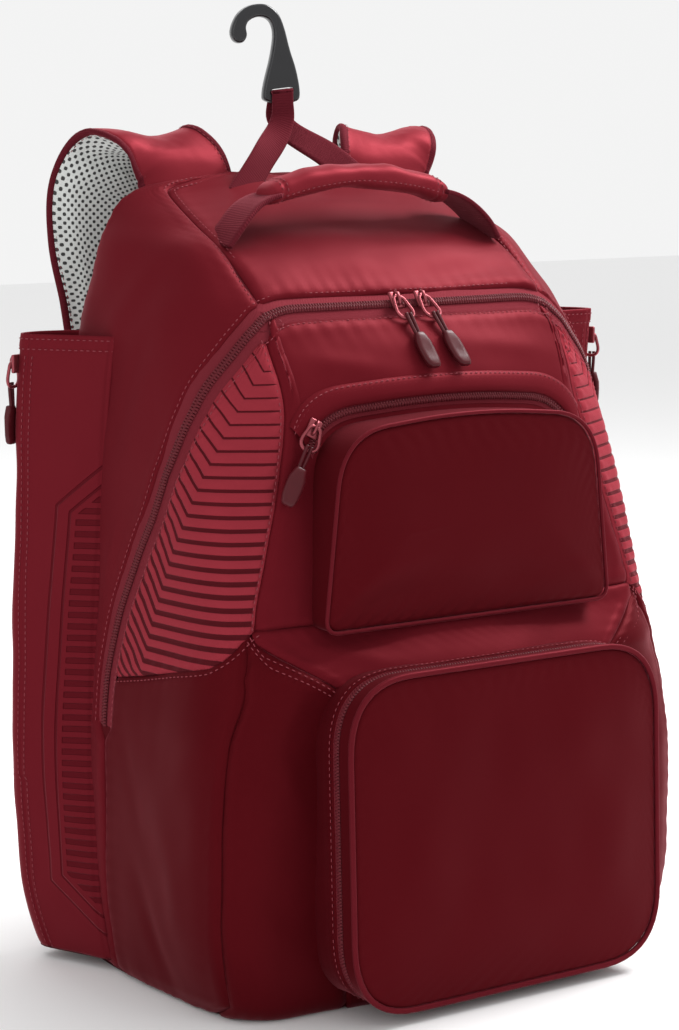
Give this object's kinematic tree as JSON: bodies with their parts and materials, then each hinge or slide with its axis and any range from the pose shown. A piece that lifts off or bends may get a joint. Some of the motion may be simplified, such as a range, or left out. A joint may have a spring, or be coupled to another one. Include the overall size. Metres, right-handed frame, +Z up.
{
  "type": "baseball bat backpack",
  "caption": "Backpack with a zipped front, a deep lower pocket, a pocket on the lid, an open bat sleeve at each side, a haul handle, a fence hook and padded shoulder straps.",
  "frame": {"origin": "on the floor, in the middle of the flat base from side to side", "axes": "+Z up, -Y towards the front with the pockets, +X to the right as seen from the front"},
  "size_m": [0.4626, 0.3243, 0.621],
  "materials": {
    "body_cloth": "satin coated polyester",
    "panel_cloth": "satin coated polyester",
    "ribbed_cloth": "embossed ribbed polyester",
    "webbing": "woven polyester webbing",
    "zip_tape": "woven tape with a nylon coil",
    "strap_cloth": "padded polyester",
    "back_mesh": "spacer mesh",
    "zip_pull": "satin painted metal",
    "black_plastic": "gloss moulded plastic"
  },
  "bodies": {
    "root": {"base_panel": "body_cloth", "back_panel": "body_cloth", "hood_panel": "body_cloth", "side_panel_left": "body_cloth", "side_panel_right": "body_cloth", "bat_sleeve_left": "body_cloth", "bat_sleeve_right": "body_cloth", "front_yoke": "body_cloth", "centre_panel": "panel_cloth", "lower_front_panel": "panel_cloth", "upper_pocket": "panel_cloth", "lower_pocket_face": "panel_cloth", "lower_pocket_gusset": "panel_cloth", "gusset_left": "ribbed_cloth", "gusset_right": "ribbed_cloth", "handle_webbing_left": "webbing", "handle_webbing_right": "webbing", "hook_webbing": "webbing", "strap_webbing_left": "webbing", "strap_webbing_right": "webbing", "upper_pocket_piping": "webbing", "lower_pocket_piping": "webbing", "main_zip": "zip_tape", "upper_pocket_zip": "zip_tape", "lower_pocket_zip": "zip_tape", "handle_grip": "strap_cloth", "shoulder_strap_left": "strap_cloth", "shoulder_strap_right": "strap_cloth", "back_pad": "back_mesh", "main_left_slider": "zip_pull", "main_left_pull": "zip_pull", "main_right_slider": "zip_pull", "main_right_pull": "zip_pull", "upper_slider": "zip_pull", "upper_pull": "zip_pull", "sleeve_left_slider": "zip_pull", "sleeve_left_pull": "zip_pull", "sleeve_right_slider": "zip_pull", "sleeve_right_pull": "zip_pull", "fence_hook": "black_plastic", "strap_buckle_left": "black_plastic", "strap_buckle_right": "black_plastic"}
  },
  "joints": []
}
